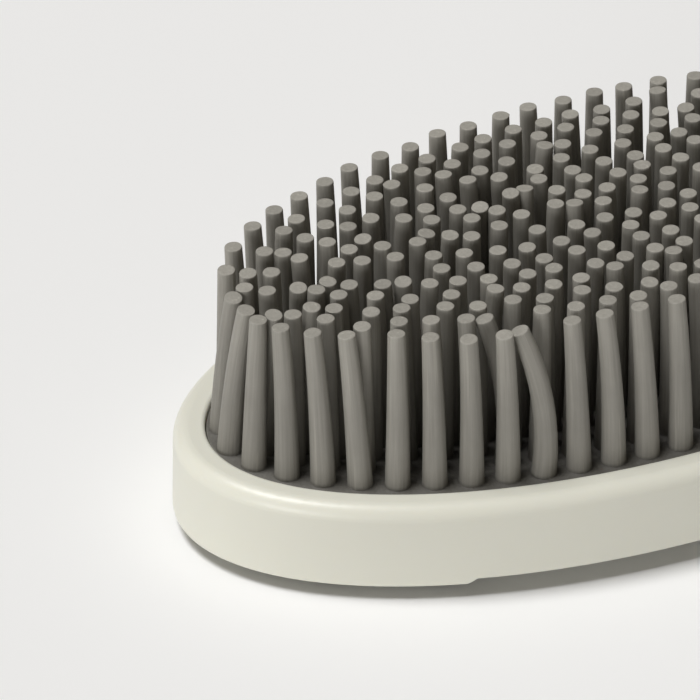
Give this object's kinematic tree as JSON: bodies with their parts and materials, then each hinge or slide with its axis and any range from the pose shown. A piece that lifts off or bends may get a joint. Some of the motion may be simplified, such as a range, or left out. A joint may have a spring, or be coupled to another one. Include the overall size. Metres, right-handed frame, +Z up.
{
  "type": "rubber curry brush",
  "caption": "Palm-held oval grooming brush with a moulded mat of long soft rubber bristles, a rigid tray and an adjustable two-part hand strap on the back.",
  "frame": {"origin": "centre of the plane that the four foot plugs stand on, under the middle of the oval", "axes": "+X along the oval's long axis, +Y along its short axis, +Z up along the bristles; the brush lies on its back"},
  "size_m": [0.12, 0.059, 0.0338],
  "materials": {
    "tray_plastic": "satin moulded ABS, warm ivory",
    "plate_plastic": "finely textured moulded ABS, warm ivory",
    "bristle_rubber": "matt thermoplastic rubber, warm grey",
    "bar_steel": "drawn stainless rod",
    "screw_steel": "zinc plated",
    "strap_webbing": "plain-woven nylon webbing, warm grey",
    "patch_pile": "brushed loop pile",
    "patch_hook": "moulded hooks on woven tape",
    "foot_rubber": "matt"
  },
  "bodies": {
    "brush": {"rim_shell": "tray_plastic", "bristle_mat": "bristle_rubber", "back_plate": "plate_plastic", "strap_bar_left": "bar_steel", "strap_bar_right": "bar_steel", "back_screws": "screw_steel", "foot_plugs": "foot_rubber"},
    "strap_outer_half": {"strap_outer": "strap_webbing", "hook_patch": "patch_hook"},
    "strap_inner_half": {"strap_inner": "strap_webbing", "pile_patch": "patch_pile"}
  },
  "joints": [
    {"name": "strap_outer_hinge", "type": "hinge", "parent": "brush", "child": "strap_outer_half", "pos_m": [0.044, 0, 0.0052], "axis": [0, -1, 0], "range_deg": [0, 105]},
    {"name": "strap_inner_hinge", "type": "hinge", "parent": "brush", "child": "strap_inner_half", "pos_m": [-0.044, 0, 0.0052], "axis": [0, 1, 0], "range_deg": [0, 90]}
  ],
  "couplings": [
    {"joint": "strap_inner_hinge", "follows": "strap_outer_hinge", "ratio": 0.85}
  ]
}
